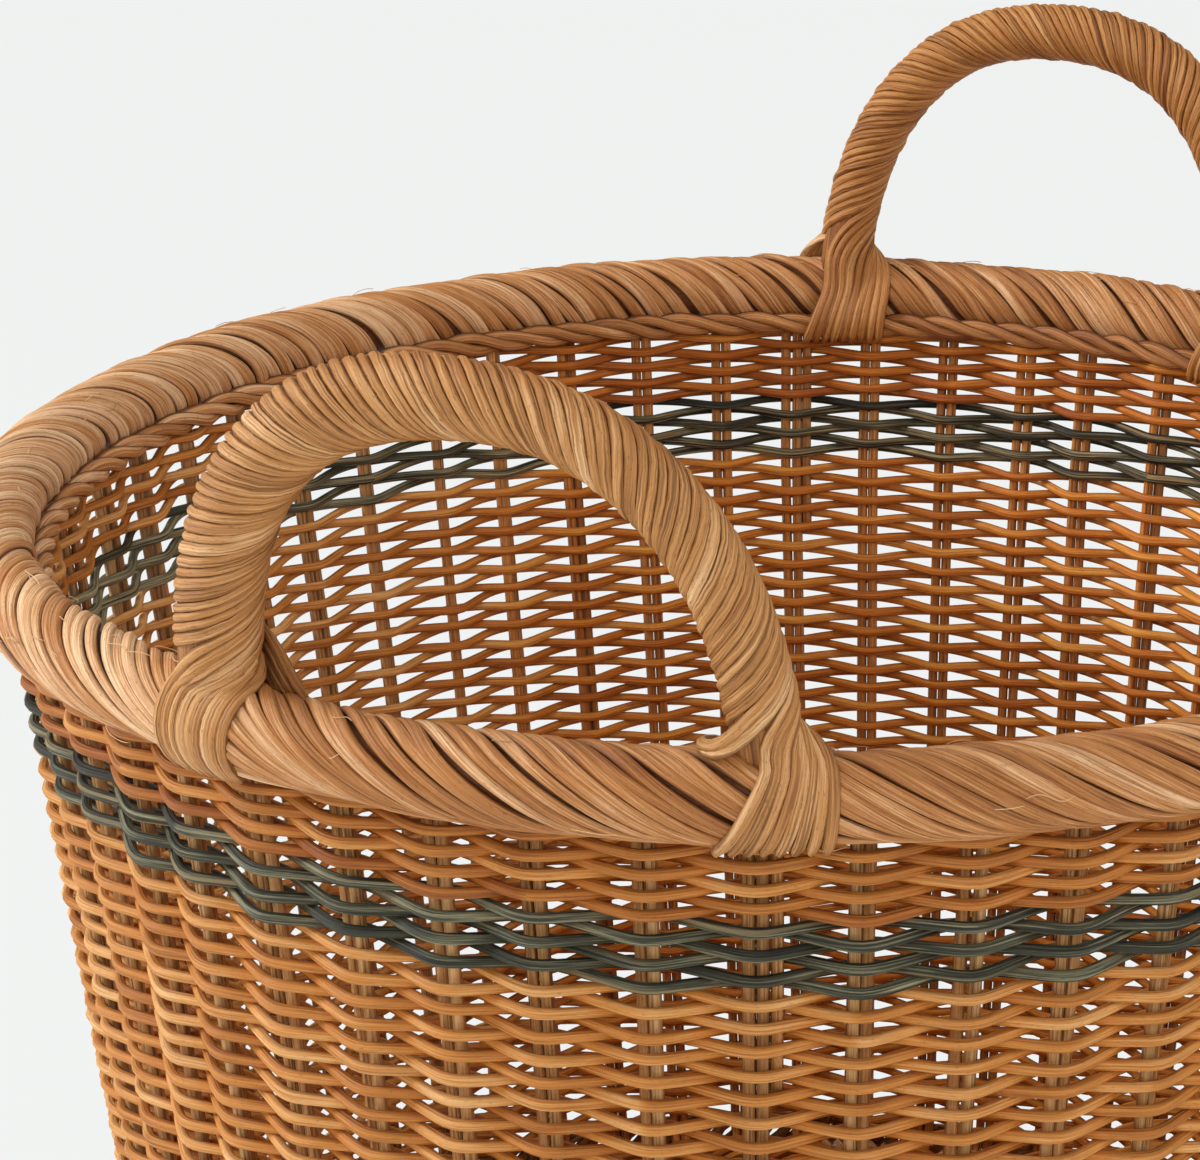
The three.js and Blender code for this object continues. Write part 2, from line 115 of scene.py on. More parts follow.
# By the angle round the basket: the distance between strands along the rim, how far one runs
# along it for each unit that it rolls over it, and how much lighter it is than elsewhere, which is
# painted light on the left-hand side and painted shade on the near, right-hand and far sides as seen
RIM_SPACINGS = {12: 5.7, 26: 6.8, 60: 6.8, 90: 5.8, 210: 5.8, 235: 6.5, 310: 6.5, 345: 5.8}
RIM_SLANTS = {
    5: 1.08, 45: 1.1, 120: 1.15, 175: 1.25, 200: 1.15,
    225: 1.05, 250: 1.05, 290: 1.35, 330: 1.38, 350: 1.05,
}
RIM_LIGHT_AND_SHADE = {
    0: -0.08, 30: -0.1, 90: -0.1, 180: -0.1, 230: 0.05,
    270: 0.22, 300: 0.24, 330: 0.18, 342: 0.1, 350: -0.05,
}
# A factor on the slant, by the place round the roll: outward is 0, up is 90 and inward is 180
ROLL_SLANTS = {
    -100: 3.4, -62: 2.5, -35: 1.5, 0: 1.4, 30: 1.3, 60: 1.0,
    90: 0.95, 130: 1.0, 160: 0.85, 185: 0.6, 270: 0.4,
}
# How far the core's surface lies below the rim's, as a share of a strand's thickness
RIM_CORE_DEPTH = 0.78

# Braid: a cord of twisted strands under the rim, inside
BRAID_RADIUS = 226.9
BRAID_HEIGHT = 329
BRAID_STRANDS = 3
BRAID_TURNS = 35
BRAID_STRAND_DIAMETER = 4.25
BRAID_TWIST_RADIUS = 2.25
BRAID_STEPS = 14 * STAKE_COUNT

# Handles: a bent core with strands roped round it, and a leg down the wall at each end
HANDLE_HALF_SPAN = 75.5
HANDLE_RISE = 100
HANDLE_FOOT_RADIUS = 236
HANDLE_LEAN = math.radians(9.8)
HANDLE_SQUARENESS = 2.33
ROPE_RADIUS = 10.4
ROPE_STRANDS = 12
ROPE_STRAND_WIDTH = 2.95
ROPE_STRAND_THICKNESS = 2.4
# The length of rope in which a strand goes round once, and from one strand to the next
ROPE_LEAD = 41
STRAND_STEP = ROPE_LEAD / ROPE_STRANDS
# A rope that swells toward its first foot starts this far from it, and swells over this length
SWELL_ENDS = 170
SWELL_LENGTH = 65
CORE_START = 8
CORE_TONE = 0.12
LEG_DEPTH = 88
LEG_SHOWN_RADIUS = 1.7
LEG_TOP_DEPTH = 8

# Fans: at a foot, strands leave the rope one after another and spread over the rim
FAN_STRAND_WIDTH = 3.5
# The turn from the rope's face at which the highest strand leaves, and how much sooner the lowest does
DEPART_TURN = math.radians(62)
EARLIER_TURN = math.radians(48)
# Extra strands come out from under the last winding at this turn
HIDDEN_TURN = math.radians(135)
# How far up the rope the lowest strand leaves, and the rank of the highest
LOWEST_DEPARTURE = 14.5
LAST_RANK = 5
# How far up from the foot strands turn over the rim, outside and inside
RIM_TOP_RISE = 15.0
INNER_SIDE_RISE = 8.0
# How far to the left and right of the rope's middle a strand can settle, as shares of its radius
SETTLED_SIDES = (-0.92, 0.97)
# How far the inner fans lift off the rim to pass over the braid
OVER_BRAID = 8.2

# Hook: the last strands of one fan pass round the rope's left-hand side, on the rim, to the inside
HOOKED_STRANDS = 2
# They leave the rope this much lower than the others would, and this far apart
HOOK_DROP = 7.6
HOOK_STEP = 2.8
# The hook's way round the rope's middle line: to the right, outward and up from the foot
HOOK_LINE = (
    (-6, 12, 17.6), (-11, 10.4, 15.6), (-15.5, 7, 14.8),
    (-17, 3, 14.3), (-15.5, -1.5, 12.6), (-11.5, -5.5, 10),
)

# Foot border: strands rolled into a ring with a squarish section
FOOT_BORDER_RADIUS = 196.6
FOOT_BORDER_HEIGHT = 22
FOOT_HALF_WIDTH = 8.4
FOOT_HALF_HEIGHT = 9.6
FOOT_SQUARENESS = 0.72
FOOT_STRANDS = 4 * STAKE_COUNT
FOOT_STRAND_WIDTH = 4.5
FOOT_STRAND_THICKNESS = 2.9
FOOT_STRAND_RUN = 62
FOOT_STRAND_STATIONS = 24
# Height of the middle lines of the strands that lie on the floor
FOOT_LOWEST = 1.5

# Stray fibres: fine hairs that stand off the rim
STRAY_FIBRES = 130
STRAY_WIDTH = 0.28
STRAY_THICKNESS = 0.22

# Each strand's grain starts at its own place in this length of noise
GRAIN_REACH = 1000


def unit(vectors):
    return vectors / np.linalg.norm(vectors, axis=-1, keepdims=True)


def polar(angle, radius, height):
    angle, radius, height = np.broadcast_arrays(angle, radius, height)
    return np.stack([radius * np.cos(angle), radius * np.sin(angle), height], -1).astype(float)


def outward(angle):
    return polar(angle, 1.0, 0.0)


def sideways(angle):
    """The level direction in which the angle grows."""
    return polar(angle + math.pi / 2, 1.0, 0.0)


def wall_radius(height):
    return WALL_FOOT_RADIUS + WALL_SLOPE * (height - BASE_HEIGHT)


def smoothstep(share):
    share = np.clip(share, 0, 1)
    return share * share * (3 - 2 * share)


def eased(value, start, span):
    """Climbs smoothly from 0 at the start to 1 a span later."""
    return smoothstep((value - start) / span)


def squared(wave, power):
    """Pushes a circle's sine or cosine toward a square's."""
    return np.sign(wave) * np.abs(wave) ** power


def by_angle(table, angle, period=360):
    """The value at an angle of a table by degrees."""
    return np.interp(np.degrees(angle), list(table), list(table.values()), period=period)


def lengths_along(path):
    steps = np.linalg.norm(np.diff(path, axis=0), axis=1)
    return np.concatenate([[0], np.cumsum(steps)])


def resample(path, spacing):
    """The same line with stations at an even spacing."""
    along = lengths_along(path)
    count = max(3, int(round(along[-1] / spacing)) + 1)
    wanted = np.linspace(0, along[-1], count)
    return np.stack([np.interp(wanted, along, path[:, axis]) for axis in range(3)], -1)


def relax(path, passes):
    """Rounds the corners of a line and keeps its ends."""
    for _ in range(passes):
        middle = 0.25 * path[:-2] + 0.5 * path[1:-1] + 0.25 * path[2:]
        path = np.concatenate([path[:1], middle, path[-1:]])
    return path


# Strands and their meshes


@dataclass
class Strand:
    """One length of rattan: its middle line, the way its broad face looks, and its section."""

    centres: np.ndarray
    facing: np.ndarray
    width: object
    thickness: object
    tone: object = 0.5
    closed: bool = False
    sides: int = 8

    def turns(self):
        """Angles of the corners round a section, from one edge."""
        return 2 * math.pi * np.arange(self.sides) / self.sides

    def half_sizes(self):
        """Half the width and half the thickness at each station."""
        stations = len(self.centres)
        return np.broadcast_to(self.width, stations) / 2, np.broadcast_to(self.thickness, stations) / 2

    def rings(self):
        """The corners of each section, and how far each lies across and above the middle line."""
        if self.closed:
            heading = np.roll(self.centres, -1, axis=0) - np.roll(self.centres, 1, axis=0)
        else:
            heading = np.gradient(self.centres, axis=0)
        heading = unit(heading)
        side = unit(np.cross(heading, self.facing))
        up = np.cross(side, heading)
        half_width, half_thickness = self.half_sizes()
        across = half_width[:, None] * np.cos(self.turns())
        above = half_thickness[:, None] * np.sin(self.turns())
        points = self.centres[:, None] + across[..., None] * side[:, None] + above[..., None] * up[:, None]
        return points, across, above


class MeshParts:
    """Vertices and faces of many strands, with five values and a texture place for each corner.

    The values are the grain's three coordinates, the tone, which on the wall, rim and braid also carries
    painted light and shade, and the crown, which is 0 at a strand's edges and 1 along the middle of its
    faces; the materials paint shade along the edges from the crown.
    """

    def __init__(self):
        self.points = []
        self.faces = []
        self.values = []
        self.caps = []
        self.strips = []
        self.count = 0

    def add(self, strand, sheet_side):
        points, across, above = strand.rings()
        stations, sides = across.shape
        segments = np.arange(stations if strand.closed else stations - 1)
        nexts = (segments + 1) % stations
        edges = np.arange(sides)
        beyond = (edges + 1) % sides
        starts, ends = (segments, segments), (nexts, segments + 1)
        corners = [(*starts, edges), (*ends, edges), (*ends, beyond), (*starts, beyond)]
        quads = np.stack([station[:, None] * sides + edge for station, _, edge in corners], -1)
        self.points.append(points.reshape(-1, 3))
        self.faces.append(self.count + quads.reshape(-1, 4))

        steps = strand.centres[nexts] - strand.centres[segments]
        along = np.concatenate([[0], np.cumsum(np.linalg.norm(steps, axis=1))])
        offset = seeded.uniform(0, GRAIN_REACH)
        tone = np.broadcast_to(strand.tone, stations)
        crown = np.abs(np.sin(strand.turns()))
        values = np.empty((len(segments), sides, 4, 5))
        for corner, (station, step, edge) in enumerate(corners):
            values[:, :, corner, 0] = along[step][:, None] + offset
            values[:, :, corner, 1] = across[station][:, edge] + offset
            values[:, :, corner, 2] = above[station][:, edge]
            values[:, :, corner, 3] = tone[station][:, None]
            values[:, :, corner, 4] = crown[edge]
        self.values.append(values.reshape(-1, 5))
        self.add_strips(strand, along, sheet_side)
        if not strand.closed:
            first_ring = self.count + edges
            last_ring = self.count + (stations - 1) * sides + edges[::-1]
            for ring, place in ((first_ring, 0.0), (last_ring, along[-1])):
                self.caps.append((ring, [place + offset, 0.0, 0.0, float(tone[0]), 1.0]))
        self.count += stations * sides

    def add_strips(self, strand, along, sheet_side):
        """Cuts a strand's skin into strips that fit on the texture sheet."""
        segments = len(along) - 1
        strip_count = max(1, math.ceil(along[-1] / sheet_side))
        strip_of = np.minimum(np.arange(segments) * strip_count // segments, strip_count - 1)
        girth = math.pi * float(np.mean(sum(strand.half_sizes())))
        for strip in range(strip_count):
            members = np.flatnonzero(strip_of == strip)
            first, last = members[0], members[-1] + 1
            self.strips.append((along[first : last + 1] - along[first], strand.sides, girth))

    def texture_places(self, sheet_side):
        """Lays each strip on the unit square in rows, with none over another."""
        margin = 0.1
        laid = []
        row, cursor = 0, 0.0
        for along, sides, girth in self.strips:
            length = along[-1] + girth * margin
            if cursor + length > sheet_side and cursor > 0:
                row, cursor = row + 1, 0.0
            laid.append((row, cursor + along, sides))
            cursor += length
        widest = max(along[-1] for _, along, _ in laid)
        places = []
        for own_row, along, sides in laid:
            u = along / widest
            share = margin + (1 - 2 * margin) * np.arange(sides + 1) / sides
            v = (own_row + share) / (row + 1)
            strip = np.empty((len(along) - 1, sides, 4, 2))
            strip[..., 0] = np.stack([u[:-1], u[1:], u[1:], u[:-1]], -1)[:, None]
            strip[..., 1] = np.stack([v[:-1], v[:-1], v[1:], v[1:]], -1)
            places.append(strip.reshape(-1, 2))
        return np.concatenate(places)


def write_attribute(mesh, name, kind, domain, values):
    """Keeps values on a mesh, where a material can read them."""
    attribute = mesh.attributes.new(name, kind, domain)
    field = "vector" if kind == "FLOAT_VECTOR" else "value"
    attribute.data.foreach_set(field, values.astype(np.float32).ravel())


def inside_shade_share(points):
    """How much painted shade a point gets: 1 inside the wall and 0 outside it, less where painted light
    stands for the light on the inside.
    """
    own = np.arctan2(points[:, 1], points[:, 0])
    depth = wall_radius(points[:, 2]) - np.hypot(points[:, 0], points[:, 1])
    # Painted light: the painted shade is lifted round the inside that the light falls on
    pale = LIT_INSIDE_SHARE * eased(np.cos(own - LIT_INSIDE_ANGLE), start=0.68, span=0.3)
    return (1 - pale) * np.clip(0.5 + depth / INSIDE_SHADE_DEPTH, 0, 1)


def strand_mesh(name, strands):
    """One mesh of many strands, each a closed tube."""
    girths_per_width = 3.2
    sheet_slack = 1.05
    area = sum(lengths_along(s.centres)[-1] * girths_per_width * float(np.mean(s.width)) for s in strands)
    sheet_side = sheet_slack * math.sqrt(area)
    parts = MeshParts()
    for strand in strands:
        parts.add(strand, sheet_side)
    points = np.concatenate(parts.points)
    quads = np.concatenate(parts.faces)
    caps = [ring for ring, _ in parts.caps]
    corners = np.concatenate([quads.reshape(-1), *caps])
    sizes = np.concatenate([np.full(len(quads), 4), [len(ring) for ring in caps]]).astype(int)
    mesh = bpy.data.meshes.new(name)
    mesh.vertices.add(len(points))
    mesh.vertices.foreach_set("co", (points * MM).astype(np.float32).ravel())
    mesh.loops.add(len(corners))
    mesh.loops.foreach_set("vertex_index", corners.astype(np.int32))
    mesh.polygons.add(len(sizes))
    mesh.polygons.foreach_set("loop_start", (np.cumsum(sizes) - sizes).astype(np.int32))
    mesh.polygons.foreach_set("use_smooth", np.repeat(True, len(sizes)))
    mesh.update(calc_edges=True)

    cap_values = [np.tile(values, (len(ring), 1)) for ring, values in parts.caps]
    values = np.concatenate([*parts.values, *cap_values])
    write_attribute(mesh, "grain", "FLOAT_VECTOR", "CORNER", values[:, :3])
    write_attribute(mesh, "tone", "FLOAT", "CORNER", values[:, 3])
    write_attribute(mesh, "crown", "FLOAT", "CORNER", values[:, 4])
    write_attribute(mesh, "inside", "FLOAT", "POINT", inside_shade_share(points))
    layer = mesh.uv_layers.new(name="OFBake")
    cap_places = [np.zeros((len(ring), 2)) for ring in caps]
    places = np.concatenate([parts.texture_places(sheet_side), *cap_places])
    layer.data.foreach_set("uv", places.astype(np.float32).ravel())
    return mesh


def add_object(name, data):
    added = bpy.data.objects.new(name, data)
    bpy.context.scene.collection.objects.link(added)
    return added


def add_piece(name, strands, material, replaced):
    mesh = strand_mesh(name, strands)
    mesh.materials.append(material)
    piece = add_object(name, mesh)
    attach(piece, "root")
    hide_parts(*replaced)


# Materials

# Shares of a strand's tone, which on the wall, rim and braid also carries painted light and shade, of
# blotches and of fibres in how light it is
TONE_SHARE = 0.75
BLOTCH_SHARE = 0.24
FIBRE_SHARE = 0.44
# Factors that turn a material's dark colour into that of its cracks and specks, and of the painted shade
# along strands' edges in the creases between them
SHADE_FACTORS = (0.55, 0.46, 0.3)


def linear(red, green, blue):
    """A colour written as it looks on screen, 0 to 255, for a shader."""
    shares = [value / 255 for value in (red, green, blue)]
    return [s / 12.92 if s <= 0.04045 else ((s + 0.055) / 1.055) ** 2.4 for s in shares] + [1.0]


def connect(node, inputs):
    """Gives a node's inputs, by name or place, a value or what another node puts out."""
    for key, value in inputs.items():
        if isinstance(value, bpy.types.NodeSocket):
            node.id_data.links.new(value, node.inputs[key])
        else:
            node.inputs[key].default_value = value
    return node


def rattan(
    name, dark, middle, light, groove=0.3, ridges=0.16, speck=0.3, crease_shade=0.3, stain=None, inner_shade=None
):
    """Split cane in three colours, with fibres, blotches, dark specks and a tone for each strand.

    Groove says how dark its cracks are, ridges how strongly it is ribbed, and the crease strength how dark
    the painted shade along a strand's edges is, where strands meet. A stain runs along it in streaks, and
    inside the wall its colours are multiplied by the inner factors, a painted shade with warm bounced
    light.
    """
    material = bpy.data.materials.new(name)
    material.use_nodes = True
    nodes = material.node_tree.nodes

    def kept(attribute, output="Fac"):
        """What a mesh keeps in one of its attributes."""
        node = nodes.new("ShaderNodeAttribute")
        node.attribute_name = attribute
        return node.outputs[output]

    grain = kept("grain", "Vector")

    def noise(along, across, detail):
        """Noise per millimetre along the strand and across it, from 0 to 1."""
        stretch = nodes.new("ShaderNodeVectorMath")
        stretch.operation = "MULTIPLY"
        connect(stretch, {0: grain, 1: (along, across, across)})
        texture = nodes.new("ShaderNodeTexNoise")
        connect(texture, {"Vector": stretch.outputs["Vector"], "Scale": 1.0, "Detail": detail})
        return texture.outputs["Fac"]

    def maths(operation, first, second, clamp=False):
        node = nodes.new("ShaderNodeMath")
        node.operation = operation
        node.use_clamp = clamp
        return connect(node, {0: first, 1: second}).outputs[0]

    def spread(value, low, high):
        """Stretches a value so that low becomes 0 and high becomes 1."""
        return maths("MULTIPLY", maths("SUBTRACT", value, low), 1 / (high - low), clamp=True)

    def mix(share, first, second, blend="MIX"):
        node = nodes.new("ShaderNodeMix")
        node.data_type = "RGBA"
        node.blend_type = blend
        return connect(node, {0: share, 6: first, 7: second}).outputs[2]

    fibre = spread(noise(0.06, 2.1, 4), 0.3, 0.7)
    ridge = spread(noise(0.014, 1.25, 2), 0.32, 0.68)
    blotch = spread(noise(0.04, 0.12, 3), 0.25, 0.75)
    fleck = spread(noise(0.6, 2.4, 2), 0.62, 0.7)

    level = maths("MULTIPLY", kept("tone"), TONE_SHARE)
    for part, share in ((blotch, BLOTCH_SHARE), (fibre, FIBRE_SHARE), (ridge, ridges)):
        level = maths("ADD", level, maths("MULTIPLY", part, share))
    excess = (TONE_SHARE + BLOTCH_SHARE + FIBRE_SHARE + ridges - 1) / 2
    ramp = nodes.new("ShaderNodeValToRGB")
    ramp.color_ramp.elements[0].color = linear(*dark)
    ramp.color_ramp.elements[1].color = linear(*light)
    ramp.color_ramp.elements.new(0.5).color = linear(*middle)
    connect(ramp, {"Fac": maths("SUBTRACT", level, excess, clamp=True)})

    shade = linear(*(factor * value for factor, value in zip(SHADE_FACTORS, dark)))
    crack = maths("MULTIPLY", spread(ridge, 0.3, 0.04), groove)
    colour = mix(crack, ramp.outputs["Color"], shade)
    colour = mix(maths("MULTIPLY", fleck, speck), colour, shade)
    if stain:
        streak = spread(noise(0.01, 0.55, 2), 0.6, 0.68)
        colour = mix(maths("MULTIPLY", streak, 0.75), colour, linear(*stain))
    # Painted shade: strands are darkened along their edges, where they meet and the creases between them
    # are in shade
    edge = maths("MULTIPLY", spread(kept("crown"), 0.62, 0.0), crease_shade)
    colour = mix(edge, colour, shade)
    # Painted shade: inside the wall the colours are multiplied into a deeper brown, for shade and warm
    # bounced light
    if inner_shade:
        colour = mix(kept("inside"), colour, (*inner_shade, 1.0), "MULTIPLY")
    height = maths("ADD", maths("MULTIPLY", ridge, 2.4 * ridges), maths("MULTIPLY", fibre, 0.4))
    bump = nodes.new("ShaderNodeBump")
    connect(bump, {"Strength": 0.85, "Distance": 0.5 * MM, "Height": height})
    look = {
        "Base Color": colour,
        "Roughness": maths("ADD", maths("MULTIPLY", fibre, 0.15), 0.48),
        "Specular IOR Level": 0.4,
        "Normal": bump.outputs["Normal"],
    }
    connect(nodes["Principled BSDF"], look)
    return material


# Inner factors are painted shade, with warm bounced light, inside the wall and on the handles' inner
# sides; crease strengths paint shade along strands' edges
stake_rattan = rattan(
    "stake_rattan", (122, 82, 42), (180, 138, 88), (222, 186, 136),
    groove=0.6, ridges=0.3, crease_shade=0.45, inner_shade=(1.25, 0.74, 0.26)
)
wall_rattan = rattan(
    "wall_rattan", (152, 84, 20), (203, 134, 59), (236, 190, 128), inner_shade=(1.04, 0.79, 0.3)
)
dyed_rattan = rattan(
    "dyed_rattan", (14, 15, 9), (60, 62, 46), (176, 172, 138),
    groove=0.75, ridges=0.4, crease_shade=0.5, stain=(146, 128, 90), inner_shade=(1.15, 0.88, 0.68)
)
rim_rattan = rattan(
    "rim_rattan", (126, 66, 20), (191, 130, 72), (250, 213, 170),
    groove=0.34, ridges=0.13, speck=0.4, crease_shade=1.0
)
# The rim's core is painted a dark brown: painted shade where it shows in the gaps between strands
shaded_core_rattan = rattan("shaded_core_rattan", (92, 46, 16), (112, 60, 24), (134, 76, 34))
handle_rattan = rattan(
    "handle_rattan", (128, 74, 27), (195, 140, 81), (246, 208, 160),
    groove=0.55, ridges=0.2, speck=0.45, crease_shade=0.6, inner_shade=(0.84, 0.7, 0.5)
)


def strand_tone(spread=0.16):
    return float(np.clip(seeded.normal(0.5, spread), 0.02, 0.98))


# Stakes

stake_sways = seeded.normal(0, STAKE_SWAY, STAKE_COUNT)
stake_twists = seeded.normal(0, ROD_TWIST, STAKE_COUNT)
stake_gaps = np.clip(seeded.normal(0, 0.15, STAKE_COUNT), 0, 0.4)


def swayed(angle, height):
    """The angle as it really runs: each stake stands a little to one side, more so higher up.

    Away from the drift-free angle they also drift one way, all together.
    """
    place = np.mod((angle - CROSS_TURN) / STAKE_PITCH, STAKE_COUNT)
    lower = np.floor(place).astype(int) % STAKE_COUNT
    share = smoothstep(place - np.floor(place))
    sway = (1 - share) * stake_sways[lower] + share * stake_sways[(lower + 1) % STAKE_COUNT]
    sway = sway + STAKE_DRIFT * (0.5 - 0.5 * np.cos(angle - DRIFT_FREE_ANGLE))
    return angle + sway * np.clip((height - SWAY_START) / SWAY_RISE, 0, 1) / WALL_FOOT_RADIUS


def half_spoke(layer, index, end):
    """Stations of one pair's middle line from the cross in the base to the top of the wall."""
    axis_angle = CROSS_TURN + layer * math.pi / 2 + (0 if end > 0 else math.pi)
    turn = end * index * STAKE_PITCH
    angle = axis_angle - turn
    layer_height = BASE_HEIGHT + (LAYER_OFFSET if layer == 0 else -LAYER_OFFSET)
    outer_index = (SPOKES_PER_LAYER - 1) / 2
    kink_radius = PAIR_PITCH * outer_index / math.sin(STAKE_PITCH * outer_index)
    offset = end * index * PAIR_PITCH
    kink = outward(axis_angle) * math.sqrt(kink_radius**2 - offset**2) - sideways(axis_angle) * offset
    kink[2] = layer_height
    split = kink_radius + KINK_TO_SPLIT
    points = [kink, polar(angle, split, layer_height)]
    points.append(polar(angle, split + LAYER_SPLIT_LENGTH, BASE_HEIGHT))
    lean = math.atan(WALL_SLOPE)
    sweep = math.pi / 2 - lean
    centre_radius = WALL_FOOT_RADIUS - FOOT_BEND_RADIUS * math.tan(sweep / 2)
    for share in np.linspace(0, 1, 6):
        bend = sweep * share
        radius = centre_radius + FOOT_BEND_RADIUS * math.sin(bend)
        height = BASE_HEIGHT + FOOT_BEND_RADIUS * (1 - math.cos(bend))
        points.append(polar(angle, radius, height))
    points.append(polar(angle, wall_radius(STAKE_TOP), STAKE_TOP))
    return np.array(points), angle, axis_angle


def spoke_rods(layer, index):
    """The two rods of one spoke, each a single length from rim to rim."""
    rods = []
    for side in (-1, 1):
        halves = []
        for end in (1, -1):
            line, angle, axis_angle = half_spoke(layer, index, end)
            line = relax(resample(line, 3.0), 4)
            settled = eased(np.hypot(line[:, 0], line[:, 1]), start=60, span=40)[:, None]
            across = unit((1 - settled) * sideways(axis_angle) + settled * sideways(angle))
            stake = round((angle - CROSS_TURN) / STAKE_PITCH) % STAKE_COUNT
            twist = stake_twists[stake] * eased(line[:, 2:], start=30, span=60)
            aside = np.cos(twist) * across + np.sin(twist) * outward(angle)
            gap = stake_gaps[stake] * eased(line[:, 2:], start=200, span=90)
            line = line + end * side * aside * (ROD_SPREAD + gap)
            own = np.arctan2(line[:, 1], line[:, 0])
            moved = swayed(own, line[:, 2])
            halves.append(polar(moved, np.hypot(line[:, 0], line[:, 1]), line[:, 2]))
        path = resample(np.concatenate([halves[1][::-1], halves[0]]), 5.5)
        facing = unit(path - BASKET_MIDDLE)
        width = ROD_SHOWN_DIAMETER * seeded.uniform(0.92, 1.04)
        rods.append(Strand(path, facing, width, width, strand_tone()))
    return rods


def add_stakes():
    for layer in range(2):
        strands = []
        nodes = []
        for place in range(SPOKES_PER_LAYER):
            strands += spoke_rods(layer, place - (SPOKES_PER_LAYER - 1) // 2)
            nodes.append(f"spoke_pair_{layer * SPOKES_PER_LAYER + place + 1:02d}")
        add_piece(f"stakes_layer_{layer + 1}", strands, stake_rattan, nodes)


# Weave


def over_under(angle, parity, covered):
    """1 where a strand lies over a stake and -1 where under, nearly straight between the two."""
    phase = (angle - CROSS_TURN) / STAKE_PITCH + parity
    distance = np.abs(np.mod(phase + 1, 2) - 1)
    flat = 0.2 * covered
    share = np.clip((distance - flat) / (1 - 2 * flat), 0, 1)
    return 1 - 0.5 * smoothstep(share) - 1.5 * share


def row_angles(steps):
    """Angles once round the basket, from one of its stakes."""
    start = CROSS_TURN + STAKE_PITCH * seeded.integers(0, STAKE_COUNT)
    return start + STAKE_PITCH * np.arange(STAKE_COUNT * steps) / steps


def jitter(steps, amount):
    """A small smooth wander with its own value at each stake."""
    values = seeded.normal(0, amount, STAKE_COUNT)
    share = smoothstep(np.tile(np.arange(steps) / steps, STAKE_COUNT))
    return (1 - share) * np.repeat(values, steps) + share * np.repeat(np.roll(values, -1), steps)


def row_tone(steps):
    """A row is a few lengths of cane, each with a tone of its own."""
    lengths = 4
    cuts = np.sort(seeded.integers(0, STAKE_COUNT, lengths - 1)) * steps
    tones = [strand_tone(0.17) for _ in range(lengths)]
    place = np.searchsorted(cuts, np.arange(STAKE_COUNT * steps), side="right")
    return np.array(tones)[place]


def wall_row(height, parity, pitch, rim_shadow_shift):
    """One round of the wall. It sags where it crosses a stake, on either side."""
    steps = STEPS_PER_GAP
    angle = row_angles(steps)
    over = over_under(angle, parity, covered=0.3)
    over = 0.25 * np.roll(over, 1) + 0.5 * over + 0.25 * np.roll(over, -1)
    size = min(WEAVER_DIAMETER, WEAVER_SQUEEZE * pitch) * seeded.uniform(0.94, 1.05)
    tilt = 0.35 * np.sin(2 * angle + 0.8) + 0.25 * np.sin(5 * angle + height / 60)
    sag = WEAVE_SAG * pitch / ROW_PITCH * (0.5 - over**2) * (1 + jitter(steps, 0.2))
    level = height + tilt + sag + jitter(steps, 0.26)
    radius = wall_radius(height) + WEAVE_REACH * over * (1 + jitter(steps, 0.06))
    centres = polar(swayed(angle, height), radius, level)
    facing = outward(angle) - np.array([0, 0, WALL_SLOPE])
    pressed = 1 - np.abs(over)
    width = size * (1.02 - 0.05 * pressed) * (1 + jitter(steps, 0.03))
    thickness = size * (0.95 + 0.02 * pressed)
    # The tone carries painted light round the basket and, in the upper band, painted shade under the rim
    tone = row_tone(steps) + rim_shadow_shift + by_angle(WALL_PAINTED_LIGHT, angle)
    return Strand(centres, facing, width, thickness, tone, closed=True)


def band_rows(node, pitch):
    """Heights of the rows that fill a band of the wall from its lower to its upper edge."""
    low, high = (corner[2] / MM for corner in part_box(node))
    count = round((high - low) / pitch)
    return [low + (high - low) * (row + 0.5) / count for row in range(count)]


def add_wall():
    row = 0
    rows_per_piece = 19
    # The upper band's tone is lowered: painted shade for the rim's shadow on it
    for node, material, slot, pitch, rim_shadow_shift in (
        ("wall_weave_lower", wall_rattan, "wall_rattan", ROW_PITCH, 0.0),
        ("wall_stripe", dyed_rattan, "dyed_rattan", ROW_PITCH, 0.0),
        ("wall_weave_upper", wall_rattan, "wall_rattan", UPPER_ROW_PITCH, -0.3),
    ):
        heights = band_rows(node, pitch)
        for first in range(0, len(heights), rows_per_piece):
            strands = []
            for height in heights[first : first + rows_per_piece]:
                strands.append(wall_row(height, row % 2, pitch, rim_shadow_shift))
                row += 1
            name = node if len(heights) <= rows_per_piece else f"{node}_{first // rows_per_piece + 1}"
            add_piece(f"{name}_strands", strands, material, [node])


def base_row(radius, parity):
    steps = BASE_STEPS_PER_GAP
    angle = row_angles(steps)
    covered = 2 * ROD_DIAMETER / (radius * STAKE_PITCH)
    over = over_under(angle, parity, covered)
    size = WEAVER_DIAMETER * seeded.uniform(0.95, 1.03)
    centres = polar(angle, radius + jitter(steps, 0.15), BASE_HEIGHT + WEAVE_REACH * over)
    facing = np.tile([0, 0, 1.0], (len(angle), 1))
    return Strand(centres, facing, size, 0.94 * size, row_tone(steps), closed=True)


def add_base():
    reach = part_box("base_weave")[1][0] / MM
    strands = [base_row(reach - ROW_PITCH * (row + 0.5), row % 2) for row in range(BASE_ROWS)]
    add_piece("base_weave_strands", strands, wall_rattan, ["base_weave"])


# Rim


def rim_point(angle, roll, radius):
    """A point round the roll of the rim. Roll 0 looks outward and a quarter turn looks up."""
    return polar(angle, RIM_RADIUS + radius * np.cos(roll), RIM_HEIGHT + radius * np.sin(roll))


def rim_starts():
    """Angles at which strands cross the top of the rim."""
    angle = np.linspace(0, 2 * math.pi, 1441)
    each = RIM_RADIUS / by_angle(RIM_SPACINGS, angle)
    total = np.concatenate([[0], np.cumsum((each[1:] + each[:-1]) / 2)]) * (angle[1] - angle[0])
    count = round(total[-1])
    return np.interp((np.arange(count) + 0.5) * total[-1] / count, total, angle)


